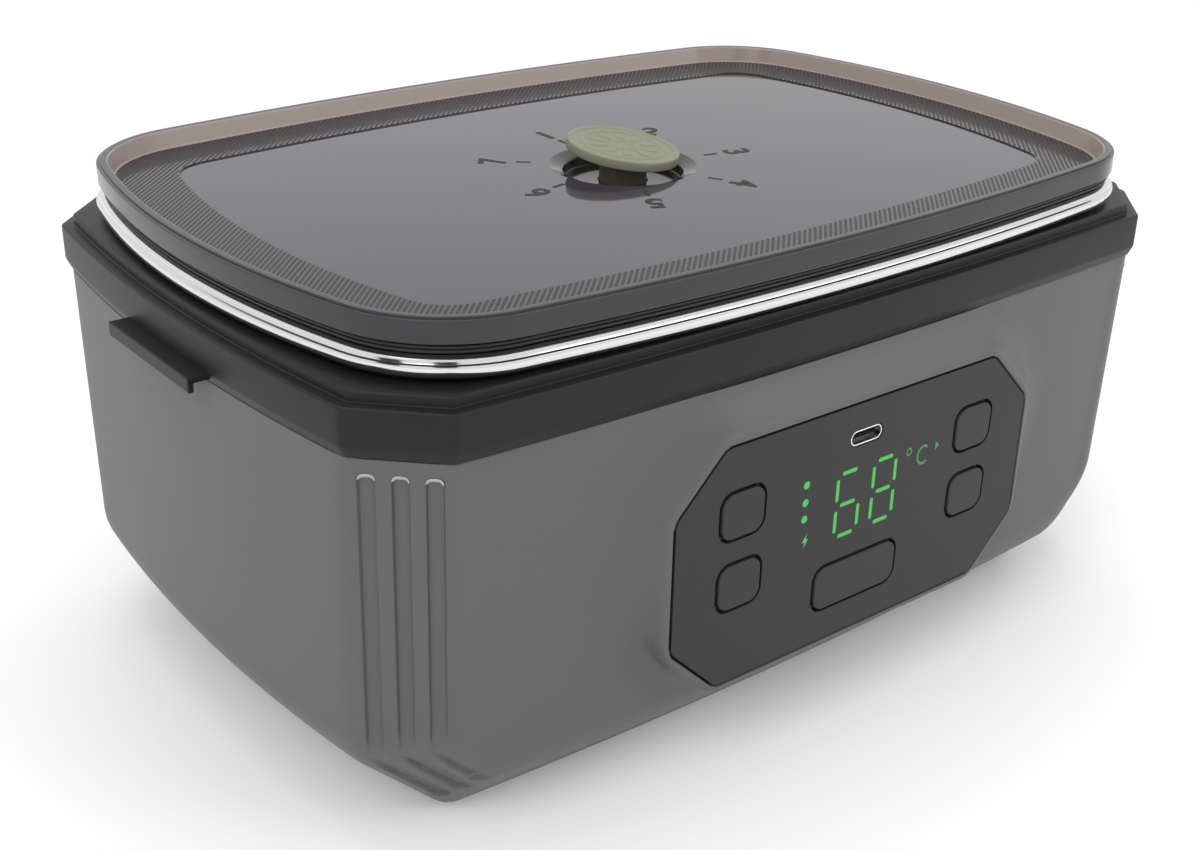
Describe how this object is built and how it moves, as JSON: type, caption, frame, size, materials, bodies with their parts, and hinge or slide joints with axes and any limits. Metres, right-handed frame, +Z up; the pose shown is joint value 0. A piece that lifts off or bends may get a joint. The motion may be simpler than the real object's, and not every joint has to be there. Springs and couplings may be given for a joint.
{
  "type": "electric lunch box",
  "caption": "Portable electric lunch box: tapered tub with a control panel, lift-out steel pan, and lift-off lid with a pressable, turning vent dial.",
  "frame": {"origin": "on the surface it stands on, under the middle of the body", "axes": "the control panel faces -Y, +X is to the right of someone facing the panel, +Z is up"},
  "size_m": [0.23, 0.1547, 0.1098],
  "materials": {
    "grey_shell": "satin",
    "black_band": "satin",
    "black_panel": "satin",
    "smoked_lid": "clear, smoked",
    "steel_pan": "bright rim",
    "well_metal": "matte",
    "zinc_screw": "plated",
    "black_rubber": "matte",
    "silicone": "matte",
    "lid_seal": "matte",
    "valve_plastic": "satin",
    "film": "satin",
    "felt": "matte",
    "board": "satin",
    "display": "satin",
    "port_metal": "plated",
    "cell_sleeve": "satin",
    "nickel": "plated",
    "lead_red": "satin",
    "lead_white": "satin",
    "inner_plastic": "matte",
    "fuse_body": "satin"
  },
  "bodies": {
    "tub": {"outer_shell": "grey_shell", "top_collar": "black_band", "collar_screws": "zinc_screw", "base_cover": "black_band", "base_screws": "zinc_screw", "rubber_feet": "black_rubber", "heat_well": "well_metal", "heating_film": "film", "insulation_pad": "felt", "thermostat": "port_metal", "thermal_fuse": "fuse_body", "control_fascia": "black_panel", "key_switches": "inner_plastic", "display_module": "display", "control_board": "board", "board_screws": "zinc_screw", "port_shell": "port_metal", "port_tongue": "inner_plastic", "battery_cells": "cell_sleeve", "battery_holder": "inner_plastic", "holder_screws": "zinc_screw", "cell_strips": "nickel", "power_board": "board", "power_screws": "zinc_screw", "battery_leads": "lead_red", "heater_leads": "lead_white"},
    "pan": {"food_pan": "steel_pan", "seat_ring": "silicone"},
    "lid": {"lid": "smoked_lid", "lid_gasket": "lid_seal"},
    "valve": {"vent_valve": "valve_plastic"},
    "cap": {"vent_cap": "valve_plastic"},
    "left_upper": {"key_left_upper": "black_panel"},
    "left_lower": {"key_left_lower": "black_panel"},
    "right_upper": {"key_right_upper": "black_panel"},
    "right_lower": {"key_right_lower": "black_panel"},
    "power": {"power_key": "black_panel"}
  },
  "joints": [
    {"name": "pan_lift", "type": "slide", "parent": "tub", "child": "pan", "axis": [0, 0, 1], "range_m": [0, 0.08]},
    {"name": "lid_lift", "type": "slide", "parent": "pan", "child": "lid", "axis": [0, 0, 1], "range_m": [0, 0.02]},
    {"name": "vent_press", "type": "slide", "parent": "lid", "child": "valve", "axis": [0, 0, 1], "range_m": [-0.0035, 0]},
    {"name": "vent_turn", "type": "hinge", "parent": "valve", "child": "cap", "pos_m": [0, 0, 0.1081], "axis": [0.0931, -0.1034, 0.9903], "continuous": true},
    {"name": "left_upper_press", "type": "slide", "parent": "tub", "child": "left_upper", "axis": [0, 1, 0], "range_m": [0, 0.0007], "stiffness_N_per_m": 600},
    {"name": "left_lower_press", "type": "slide", "parent": "tub", "child": "left_lower", "axis": [0, 1, 0], "range_m": [0, 0.0007], "stiffness_N_per_m": 600},
    {"name": "right_upper_press", "type": "slide", "parent": "tub", "child": "right_upper", "axis": [0, 1, 0], "range_m": [0, 0.0007], "stiffness_N_per_m": 600},
    {"name": "right_lower_press", "type": "slide", "parent": "tub", "child": "right_lower", "axis": [0, 1, 0], "range_m": [0, 0.0007], "stiffness_N_per_m": 600},
    {"name": "power_press", "type": "slide", "parent": "tub", "child": "power", "axis": [0, 1, 0], "range_m": [0, 0.0007], "stiffness_N_per_m": 600}
  ]
}
